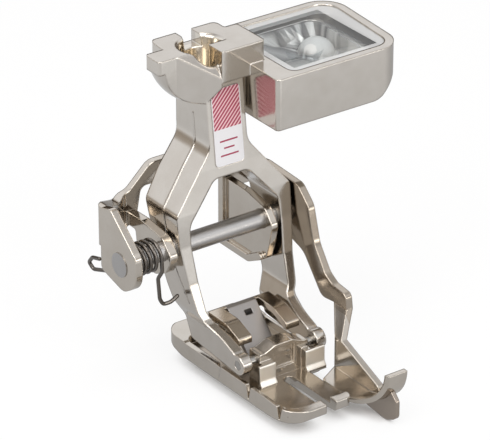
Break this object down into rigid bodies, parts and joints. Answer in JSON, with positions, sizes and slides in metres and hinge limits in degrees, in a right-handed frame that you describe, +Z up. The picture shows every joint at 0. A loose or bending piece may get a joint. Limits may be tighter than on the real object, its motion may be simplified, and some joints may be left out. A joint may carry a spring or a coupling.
{
  "type": "sewing machine presser foot",
  "caption": "Patchwork presser foot: forked casting with cone socket and lens housing, tilting recessed sole, sprung hinged seam guide with curled tongue and fin.",
  "frame": {"origin": "middle of the bar socket's mouth in the top of the head", "axes": "+X to the machine's right, +Y to the back, +Z up along the socket, the way the presser bar leaves it"},
  "size_m": [0.0403, 0.0381, 0.043],
  "materials": {
    "plated_casting": "nickel plated, polished",
    "plated_sole": "nickel plated, polished",
    "plated_sheet": "nickel plated, polished",
    "reflector": "bright",
    "spring_leaf": "polished",
    "shaft_steel": "dark satin",
    "pin_steel": "satin",
    "spring_wire": "drawn",
    "clear_lens": "clear moulded",
    "label_white": "printed"
  },
  "bodies": {
    "foot": {"foot_body": "plated_casting", "label_plate": "label_white", "lens_cover": "clear_lens", "reflector_tray": "reflector", "sole_pivot_pin": "pin_steel"},
    "sole": {"sole_plate": "plated_sole", "sole_leaf_spring": "spring_leaf"},
    "guide": {"guide_yoke": "plated_sheet", "guide_fin": "plated_sheet", "hinge_shaft": "shaft_steel", "torsion_spring": "spring_wire"}
  },
  "joints": [
    {"name": "sole_tilt", "type": "hinge", "parent": "foot", "child": "sole", "pos_m": [0.0015, -0.0145, -0.0375], "axis": [1, 0, 0], "range_deg": [-6, 6], "stiffness_Nm_per_rad": 0.02},
    {"name": "guide_lift", "type": "hinge", "parent": "foot", "child": "guide", "pos_m": [0.0015, -0.0033, -0.025], "axis": [-1, 0, 0], "range_deg": [0, 8], "stiffness_Nm_per_rad": 0.005, "springref_deg": -20.05}
  ]
}
